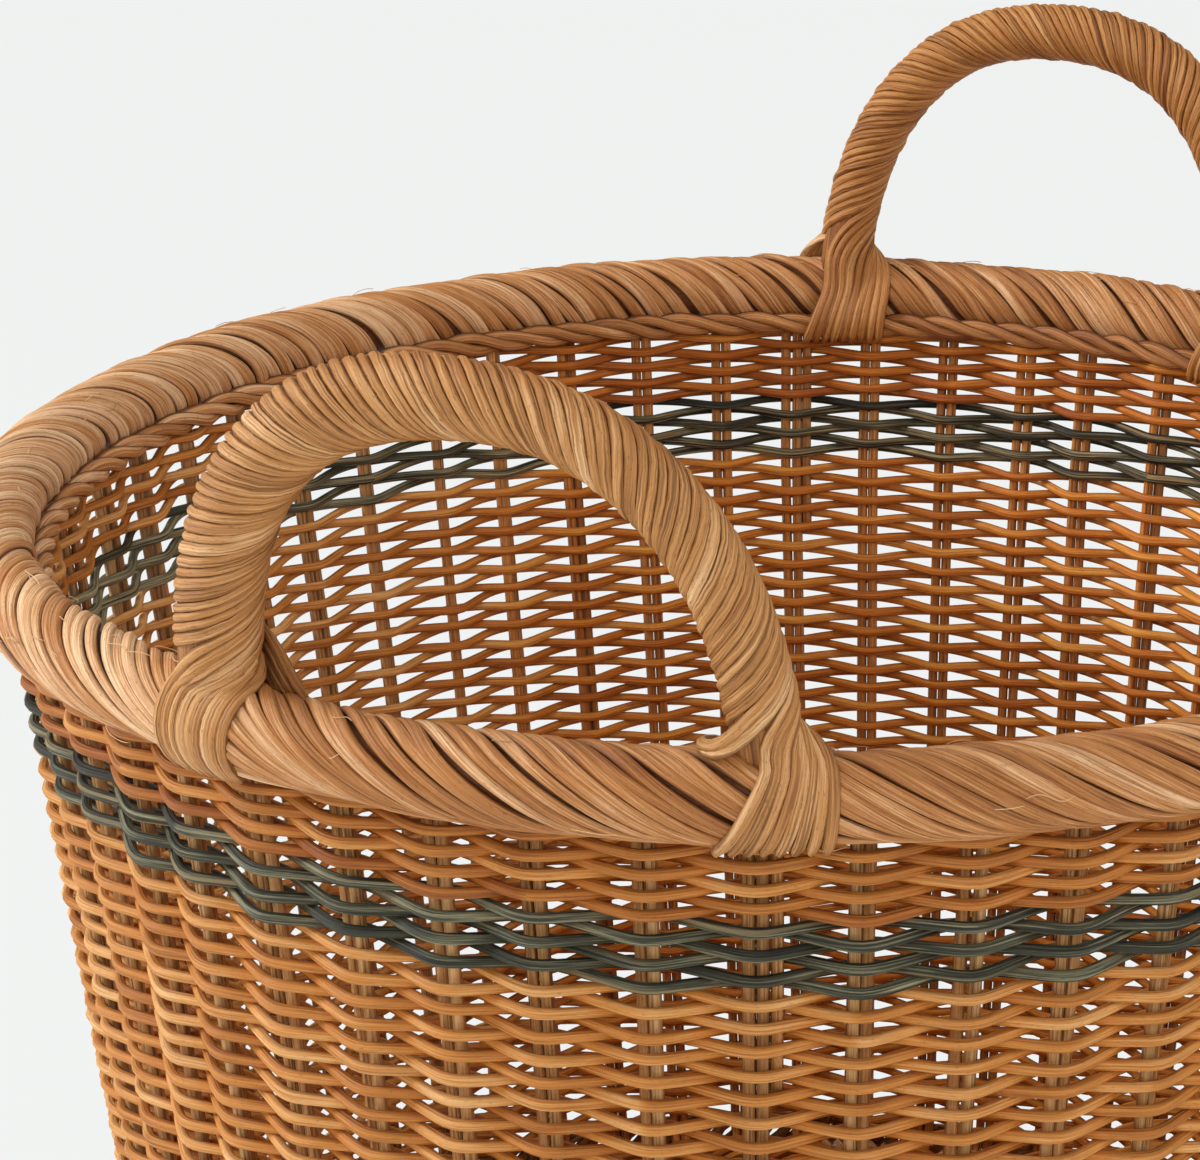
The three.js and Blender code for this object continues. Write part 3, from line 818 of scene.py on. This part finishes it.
def rim_strand(start):
    """A strand that rolls over the rim while it runs along it, from inside to under the outer edge."""
    first_roll = math.radians(RIM_FIRST_ROLL + seeded.uniform(-10, 10))
    rolls = np.linspace(first_roll, math.radians(RIM_LAST_ROLL), RIM_STRAND_STATIONS)
    by_roll = by_angle(ROLL_SLANTS, rolls, period=None)
    slant = by_angle(RIM_SLANTS, start) * (1 + seeded.normal(0, 0.03)) * by_roll
    steps = np.abs(np.diff(rolls)) * RIM_ROLL * (slant[1:] + slant[:-1]) / 2
    run = np.concatenate([[0], np.cumsum(steps)])
    top = np.argmin(np.abs(rolls - math.pi / 2))
    wander = seeded.normal(0, 0.35) * np.sin(2 * rolls + seeded.uniform(0, 2 * math.pi))
    angle = start + (run - run[top] + wander) / RIM_RADIUS
    lump = 0.25 * np.sin(9 * angle) + 0.2 * np.sin(23 * angle + 1)
    trailing = smoothstep((-30 - np.degrees(rolls)) / 60)
    lift = RIM_ROLL - RIM_STRAND_THICKNESS / 2 + lump + seeded.normal(0, 0.3) - 0.5 * trailing
    centres = rim_point(angle, rolls, lift)
    facing = unit(centres - rim_point(angle, rolls, 0.0))
    room = by_angle(RIM_SPACINGS, start) / np.sqrt(1 + slant**2)
    packed = np.minimum(RIM_WIDEST, RIM_PACKING * room / RIM_STRAND_WIDTH)
    size = seeded.uniform(0.95, 1.09)
    width = RIM_STRAND_WIDTH * size * packed
    thickness = RIM_STRAND_THICKNESS * min(size, 1.05) * (0.4 + 0.6 * np.minimum(packed, 1))
    tone = strand_tone(0.14) + by_angle(RIM_LIGHT_AND_SHADE, start)
    return Strand(centres, facing, width, thickness, tone, sides=10)


def add_rim():
    strands = [rim_strand(start + seeded.normal(0, 0.001)) for start in rim_starts()]
    half = len(strands) // 2
    add_piece("rim_strands_1", strands[:half], rim_rattan, ["rim_wrap"])
    add_piece("rim_strands_2", strands[half:], rim_rattan, ["rim_wrap"])
    angle = STAKE_PITCH * np.arange(5 * STAKE_COUNT) / 5
    centres = polar(angle, RIM_RADIUS, RIM_HEIGHT)
    core = 2 * (RIM_ROLL - RIM_CORE_DEPTH * RIM_STRAND_THICKNESS)
    hoop = Strand(centres, outward(angle), core, core, closed=True, sides=16)
    add_piece("rim_core", [hoop], shaded_core_rattan, ["rim_hoop"])


def add_braid():
    angle = 2 * math.pi * np.arange(BRAID_STEPS) / BRAID_STEPS
    strands = []
    for strand in range(BRAID_STRANDS):
        turn = -angle * BRAID_TURNS + 2 * math.pi * strand / BRAID_STRANDS
        lump = 0.3 * np.sin(17 * angle + strand) + 0.2 * np.sin(41 * angle)
        radius = BRAID_RADIUS + (BRAID_TWIST_RADIUS + lump) * np.cos(turn)
        height = BRAID_HEIGHT + (BRAID_TWIST_RADIUS + lump) * np.sin(turn)
        centres = polar(angle, radius, height)
        # Painted shade: the braid's tone is low, as it lies in shade under the rim, and it takes the rim's
        # painted light and shade round the basket
        tone = 0.3 + 0.15 * np.sin(6 * angle + 2 * strand) + 1.3 * by_angle(RIM_LIGHT_AND_SHADE, angle)
        size = BRAID_STRAND_DIAMETER * (1 + 0.06 * np.sin(13 * angle + 2 * strand))
        strands.append(Strand(centres, outward(angle), size, size, tone, closed=True))
    add_piece("inner_braid_strands", strands, rim_rattan, ["inner_braid"])


# Handles


@dataclass
class Fan:
    """Where the strands of a foot cross the rim's top and where they end below it.

    Each pair is for the first and the last strand, in millimetres to the right as seen.
    """

    top: tuple = (14.8, 0.8)
    end: tuple = (13.0, -13.2)
    inner_top: tuple = (14.0, -4.5)
    inner_end: tuple = (12.6, -13.0)
    tail: float = 0.0
    extra: int = 3
    hooked: bool = False


class Arch:
    """The middle line of one handle, from its lower-angle foot to the other."""

    def __init__(self, angle, swell, fans):
        self.angle = angle
        self.swell = swell
        self.fans = fans
        chord = math.sqrt(HANDLE_FOOT_RADIUS**2 - HANDLE_HALF_SPAN**2)
        turn = np.linspace(0, math.pi, 721)
        power = 2 / HANDLE_SQUARENESS
        reach = -squared(np.cos(turn), power)
        lift = np.clip(np.sin(turn), 0, 1) ** power
        rise = outward(angle) * math.sin(HANDLE_LEAN) + np.array([0, 0, math.cos(HANDLE_LEAN)])
        line = polar(angle, chord, RIM_HEIGHT) + HANDLE_HALF_SPAN * reach[:, None] * sideways(angle)
        line = resample(line + HANDLE_RISE * lift[:, None] * rise, 1.0)
        self.line = relax(line, 30)
        self.along = lengths_along(self.line)
        self.length = self.along[-1]
        self.heading = unit(np.gradient(self.line, axis=0))
        self.out = outward(angle) * math.cos(HANDLE_LEAN) - np.array([0, 0, math.sin(HANDLE_LEAN)])
        half = math.asin(HANDLE_HALF_SPAN / HANDLE_FOOT_RADIUS)
        self.foot_angles = {1: angle - half, -1: angle + half}

    def at(self, table, along):
        return np.stack([np.interp(along, self.along, table[:, axis]) for axis in range(3)], -1)

    def middle_radius(self, along):
        """Radius at which the rope's strands run, larger toward a swollen first foot."""
        swelled = smoothstep((SWELL_ENDS - along) / SWELL_LENGTH)
        return ROPE_RADIUS - ROPE_STRAND_THICKNESS / 2 + self.swell * swelled

    def point(self, along, turn, lift):
        """A point round the rope, with turn 0 on its outer face and growing with a right-hand twist."""
        centre = self.at(self.line, along)
        radius = self.middle_radius(along) + lift
        across = np.cross(unit(self.at(self.heading, along)), self.out)
        turn = np.asarray(turn)[..., None]
        radius = np.asarray(radius)[..., None]
        return centre + radius * (np.cos(turn) * self.out + np.sin(turn) * across)

    def from_foot(self, foot, distance):
        """Turns a distance from a foot into one along the line, or back."""
        return distance if foot > 0 else self.length - distance

    def foot_point(self, foot, rise, turn, lift):
        """The same, measured up from a foot and turned toward the right-hand side as seen."""
        return self.point(self.from_foot(foot, rise), foot * np.asarray(turn), lift)


def over_rim_line(arch, foot, face, order):
    """Over the rim, and inside the basket over the braid too, to the end of the strand."""
    fan = arch.fans[foot]
    last = LAST_RANK - HOOKED_STRANDS if fan.hooked and not face else LAST_RANK
    share = (order + fan.extra) / (fan.extra + last)
    tops, ends = (fan.inner_top, fan.inner_end) if face else (fan.top, fan.end)
    at_top = tops[0] + (tops[1] - tops[0]) * share
    at_end = ends[0] + (ends[1] - ends[0]) * share
    run = np.linspace(0, 1, 18)
    across = at_top + (at_end - at_top) * run + (0 if face else fan.tail * run**3)
    roll = np.radians(22 - 66 * run if face else 60 - 124 * run)
    over_braid = OVER_BRAID * smoothstep((10 - np.degrees(roll)) / 45) if face else 0.0
    angle = arch.foot_angles[foot] + (-1 if face else 1) * across / HANDLE_FOOT_RADIUS
    lift = RIM_ROLL + 0.7 + 0.08 * order + over_braid
    return at_top, rim_point(angle, math.pi - roll if face else roll, lift)


def fan_line(arch, foot, face, order, departure, leaves_at):
    """From where a strand leaves its winding, down the rope's side and over the rim."""
    at_top, over_rim = over_rim_line(arch, foot, face, order)
    side = -1 if face else 1
    radius = float(arch.middle_radius(arch.from_foot(foot, departure)))
    lowest = INNER_SIDE_RISE if face else RIM_TOP_RISE
    drop = np.arange(0.0, max(departure - lowest, 1.0), 1.5)
    settled = math.asin(np.clip(at_top / radius, *SETTLED_SIDES))
    ease = max((leaves_at - settled) * ROPE_LEAD / (2 * math.pi), 2.5)
    fall = (np.exp(-drop / ease) - math.exp(-drop[-1] / ease)) / (1 - math.exp(-drop[-1] / ease) + 1e-6)
    turn = settled + (leaves_at - settled) * fall
    flare = (at_top - radius * math.sin(settled)) * (1 - fall) ** 2
    lift = 0.2 - 3.2 * eased(np.degrees(turn), start=90, span=35)
    points = arch.foot_point(foot, departure - drop, turn + face, lift)
    points = points + side * flare[:, None] * sideways(arch.foot_angles[foot])
    return np.concatenate([points, over_rim])


def hook_line(arch, foot, place):
    """A loose turn round the rope's left-hand side to the inside, and over the rim there."""
    points = []
    gaps = np.linspace(HOOK_STEP * place, 0, len(HOOK_LINE))
    for (across, out, rise), gap in zip(HOOK_LINE, gaps):
        reach = math.hypot(across, out)
        along = arch.from_foot(foot, rise) + foot * gap
        turn = math.atan2(across, out)
        points.append(arch.point(along, foot * turn, reach - float(arch.middle_radius(along))))
    return np.concatenate([np.array(points), over_rim_line(arch, foot, math.pi, -place)[1]])


def departure_at(arch, foot, phase):
    """Face, rank and height at which a rope strand leaves for the rim at one foot."""
    along_zero = (foot * DEPART_TURN - phase) * ROPE_LEAD / (2 * math.pi)
    rise = LOWEST_DEPARTURE + (arch.from_foot(foot, along_zero) - LOWEST_DEPARTURE) % ROPE_LEAD
    face = 0.0
    if rise >= LOWEST_DEPARTURE + ROPE_LEAD / 2:
        rise -= ROPE_LEAD / 2
        face = math.pi
    return face, (rise - LOWEST_DEPARTURE) / STRAND_STEP, rise


def facing_from(arch, path):
    """Away from the handle's middle line above the rim, and from the rim's roll below."""
    nearest = np.argmin(np.linalg.norm(path[:, None] - arch.line[None, ::4], axis=2), axis=1)
    from_rope = path - arch.line[::4][nearest]
    own = np.arctan2(path[:, 1], path[:, 0])
    from_rim = path - polar(own, RIM_RADIUS, RIM_HEIGHT)
    share = eased(path[:, 2] - RIM_HEIGHT, start=8, span=12)[:, None]
    return unit(share * unit(from_rope) + (1 - share) * unit(from_rim))


def handle_strand(arch, path, share=1.0):
    """A flat strand, as wide as its share of the rope and as wide as the rest in the fans."""
    path = resample(relax(resample(path, 1.6), 16), 3.2)
    on_rim = smoothstep((RIM_HEIGHT + 24 - path[:, 2]) / 14)
    width = (1 - on_rim) * ROPE_STRAND_WIDTH * share + on_rim * FAN_STRAND_WIDTH
    width[[0, -1]] *= 0.7
    thickness = ROPE_STRAND_THICKNESS * (1 + 0.25 * on_rim)
    return Strand(path, facing_from(arch, path), width, thickness, strand_tone(0.1), sides=10)


def fan_orders(departures):
    """Even places in the two fans of a foot, in the order of the ranks of their strands."""
    orders = np.zeros(len(departures))
    for face in (0.0, math.pi):
        members = [place for place, departure in enumerate(departures) if departure[0] == face]
        members.sort(key=lambda place: departures[place][1])
        orders[members] = np.linspace(0, LAST_RANK, len(members))
    return orders


def foot_line(arch, foot, departure, order):
    """How far up from the foot a strand leaves its winding, and its line from there."""
    face, rank, rise = departure
    place = order - (LAST_RANK + 1 - HOOKED_STRANDS)
    if arch.fans[foot].hooked and not face and place > -0.5:
        return rise - HOOK_DROP, hook_line(arch, foot, place)
    earlier = EARLIER_TURN * (1 - rank / LAST_RANK)
    rise += earlier * ROPE_LEAD / (2 * math.pi)
    return rise, fan_line(arch, foot, face, order, rise, DEPART_TURN + earlier)


def rope_strands(arch):
    """The strands of one handle, each from a fan at one foot, round the rope, to a fan at the other."""
    shares = seeded.uniform(0.75, 1.25, ROPE_STRANDS)
    shares *= ROPE_STRANDS / shares.sum()
    phases = 2 * math.pi * (np.cumsum(shares) - shares / 2) / ROPE_STRANDS
    feet = {}
    for foot in (1, -1):
        departures = [departure_at(arch, foot, phase) for phase in phases]
        orders = fan_orders(departures)
        feet[foot] = [foot_line(arch, foot, *both) for both in zip(departures, orders)]
    strands = []
    for place, (share, phase) in enumerate(zip(shares, phases)):
        (first_rise, first_fan), (last_rise, last_fan) = feet[1][place], feet[-1][place]
        along = np.arange(first_rise + 1, arch.length - last_rise - 1, 1.5)
        turn = phase + 2 * math.pi * along / ROPE_LEAD
        lift = 0.15 * np.sin(along / 17 + place * 2.4) + seeded.normal(0, 0.12)
        path = np.concatenate([first_fan[::-1], arch.point(along, turn, lift), last_fan])
        strands.append(handle_strand(arch, path, share))
    return strands


def extra_fan_strands(arch, foot):
    """Strands that come out from under the last turn of the winding, on its right-hand side."""
    strands = []
    for face in (0.0, math.pi):
        for order in range(-arch.fans[foot].extra, 0):
            from_turn = (HIDDEN_TURN - DEPART_TURN) * ROPE_LEAD / (2 * math.pi)
            departure = LOWEST_DEPARTURE + 0.35 * order * STRAND_STEP + from_turn + 2
            strands.append(handle_strand(arch, fan_line(arch, foot, face, order, departure, HIDDEN_TURN)))
    return strands


def leg_angle(angle):
    """The angle at which a handle's leg lies against the nearest stake."""
    nearest = CROSS_TURN + round((angle - CROSS_TURN) / STAKE_PITCH) * STAKE_PITCH
    beside = ROD_SPREAD + ROD_SHOWN_DIAMETER / 2 + LEG_SHOWN_RADIUS
    return nearest + math.copysign(beside / wall_radius(RIM_HEIGHT - LEG_DEPTH), angle - nearest)


def bow_strands(arch):
    """The bent rod that fills the rope, and a leg down the wall at each end."""
    along = np.arange(CORE_START, arch.length - CORE_START, 4.0)
    facing = np.tile(arch.out, (len(along), 1))
    width = 2 * (arch.middle_radius(along) - 0.7)
    strands = [Strand(arch.at(arch.line, along), facing, width, width, CORE_TONE, sides=14)]
    heights = np.linspace(RIM_HEIGHT - LEG_DEPTH, RIM_HEIGHT - LEG_TOP_DEPTH, 16)
    for foot in (1, -1):
        angle = leg_angle(arch.foot_angles[foot])
        centres = polar(swayed(angle, heights), wall_radius(heights), heights)
        facing = outward(np.full(len(heights), angle))
        width = 2 * LEG_SHOWN_RADIUS
        strands.append(Strand(centres, facing, width, width, 0.4))
    return strands


def add_handles():
    near_left = Fan(
        top=(14.6, -7.4), end=(12.6, -7.4), inner_top=(6.0, -22.0), inner_end=(6.0, -26.0), tail=1.2
    )
    near_right = Fan(hooked=True, extra=4)
    far_left = Fan(inner_top=(17.5, -3.0), inner_end=(15.0, -12.5))
    far_right = Fan()
    arches = {
        "right_handle": Arch(math.radians(1.3), 2.2, {1: near_left, -1: near_right}),
        "left_handle": Arch(math.radians(177), 0.5, {1: far_right, -1: far_left}),
    }
    for name, arch in arches.items():
        add_piece(f"{name}_core", bow_strands(arch), handle_rattan, [f"{name}_bow"])
        add_piece(f"{name}_strands", rope_strands(arch), handle_rattan, [f"{name}_wrap"])
        for foot, letter in ((1, "a"), (-1, "b")):
            node = f"{name}_lashing_{letter}"
            fan = extra_fan_strands(arch, foot)
            add_piece(f"{node}_strands", fan, handle_rattan, [node])


# Foot


def add_foot():
    strands = []
    middle_height = FOOT_BORDER_HEIGHT / 2
    for place in range(FOOT_STRANDS):
        start = (place + seeded.normal(0, 0.08)) * 2 * math.pi / FOOT_STRANDS
        rolls = np.radians(np.linspace(80, -200, FOOT_STRAND_STATIONS))
        across = FOOT_HALF_WIDTH * squared(np.cos(rolls), FOOT_SQUARENESS)
        above = FOOT_HALF_HEIGHT * squared(np.sin(rolls), FOOT_SQUARENESS)
        angle = start + np.linspace(0, FOOT_STRAND_RUN, FOOT_STRAND_STATIONS) / FOOT_BORDER_RADIUS
        centres = polar(angle, FOOT_BORDER_RADIUS + across, middle_height + above)
        centres[:, 2] = np.maximum(centres[:, 2], FOOT_LOWEST)
        facing = centres - polar(angle, FOOT_BORDER_RADIUS, middle_height)
        width = FOOT_STRAND_WIDTH * seeded.uniform(0.95, 1.05)
        strands.append(Strand(centres, facing, width, FOOT_STRAND_THICKNESS, strand_tone(0.17)))
    add_piece("foot_border_strands", strands, rim_rattan, ["foot_border"])


def add_stray_fibres():
    strands = []
    for _ in range(STRAY_FIBRES):
        angle = seeded.uniform(0, 2 * math.pi)
        roll = seeded.uniform(math.radians(-60), math.radians(150))
        root = rim_point(angle, roll, RIM_ROLL - 0.2)
        away = unit(root - rim_point(angle, roll, 0.0))
        aside = sideways(angle) * seeded.choice([-1, 1])
        length = seeded.uniform(3, 13)
        share = np.linspace(0, 1, 10)[:, None]
        bend = seeded.uniform(0.15, 0.5)
        curl = seeded.uniform(-0.12, 0.12) * np.sin(seeded.uniform(3, 8) * share) * np.cross(away, aside)
        path = root + length * (share * aside + bend * share * (1.3 - share) * away + curl)
        facing = np.tile(away, (len(path), 1))
        strands.append(Strand(path, facing, STRAY_WIDTH, STRAY_THICKNESS, 0.9, sides=5))
    add_piece("stray_fibres", strands, handle_rattan, [])


# Camera, light and floor


def standing(place, right, back):
    """The matrix of a camera or a lamp, from its place, its right-hand side and its back."""
    turned = np.eye(4)
    turned[:3] = np.stack([right, np.cross(back, right), back, place], -1)
    return Matrix(turned.tolist())


def add_camera():
    """The photograph's own view, from 18 degrees above the rim's level."""
    azimuth = math.radians(20.65)
    elevation = 0.317
    distance = 1.1365
    pan, tilt, roll = -0.0527, 0.34, -0.0151
    height = RIM_HEIGHT * MM + distance * math.sin(elevation)
    place = polar(azimuth, distance * math.cos(elevation), height)
    forward = polar(azimuth + math.pi - pan, math.cos(tilt), -math.sin(tilt))
    level_right = unit(np.cross(forward, [0, 0, 1]))
    level_up = np.cross(level_right, forward)
    right = math.cos(roll) * level_right + math.sin(roll) * level_up
    data = bpy.data.cameras.new("camera")
    data.lens = 111.23
    data.sensor_width = 36
    camera = add_object("camera", data)
    camera.matrix_world = standing(place, right, -forward)
    bpy.context.scene.camera = camera


def add_lamp(name, place, size, share):
    """A soft square lamp aimed at the basket. Share 1 alone would light a facing white wall to white."""
    target = np.array([0, 0, 0.25])
    distance = float(np.linalg.norm(place - target))
    data = bpy.data.lights.new(name, "AREA")
    data.shape = "SQUARE"
    data.size = size
    data.energy = share * math.pi**2 * distance**2
    back = unit(place - target)
    right = unit(np.cross([0.01, 0.02, 1], back))
    add_object(name, data).matrix_world = standing(place, right, back)


def add_studio():
    add_lamp("overhead_lamp", (0.2, -0.4, 2.4), 1.4, 0.22)
    add_lamp("key_lamp", (0.7, -2.2, 1.5), 0.9, 0.73)
    add_lamp("front_lamp", (2.2, 0.4, 1.2), 1.2, 0.25)
    add_lamp("fill_lamp", (0.3, 2.1, 1.1), 1.4, 0.26)
    world = bpy.data.worlds.new("world")
    world.use_nodes = True
    connect(world.node_tree.nodes["Background"], {"Color": (1.0, 0.9, 0.78, 1), "Strength": 0.4})
    bpy.context.scene.world = world
    bpy.context.scene.view_settings.view_transform = "Standard"


def add_floor():
    """A pale floor that shows evenly to the camera and keeps part of the basket's shadow."""
    mesh = bpy.data.meshes.new("floor")
    reach = 30
    corners = [(-reach, -reach, 0), (reach, -reach, 0), (reach, reach, 0), (-reach, reach, 0)]
    mesh.from_pydata(corners, [], [(0, 1, 2, 3)])
    material = bpy.data.materials.new("floor_paper")
    material.use_nodes = True
    nodes = material.node_tree.nodes
    pale = linear(241, 243, 242)
    paper = connect(nodes["Principled BSDF"], {"Base Color": pale, "Roughness": 0.9})
    glow = connect(nodes.new("ShaderNodeEmission"), {"Color": pale})
    ray = nodes.new("ShaderNodeLightPath")
    seen = nodes.new("ShaderNodeMath")
    seen.operation = "MULTIPLY"
    connect(seen, {0: ray.outputs["Is Camera Ray"], 1: 0.96})
    blend = nodes.new("ShaderNodeMixShader")
    connect(blend, {"Fac": seen.outputs[0], 1: paper.outputs["BSDF"], 2: glow.outputs["Emission"]})
    connect(nodes["Material Output"], {"Surface": blend.outputs["Shader"]})
    mesh.materials.append(material)
    floor = add_object("floor", mesh)


add_stakes()
add_wall()
add_base()
add_rim()
add_braid()
add_handles()
add_foot()
add_stray_fibres()
add_camera()
add_studio()
add_floor()
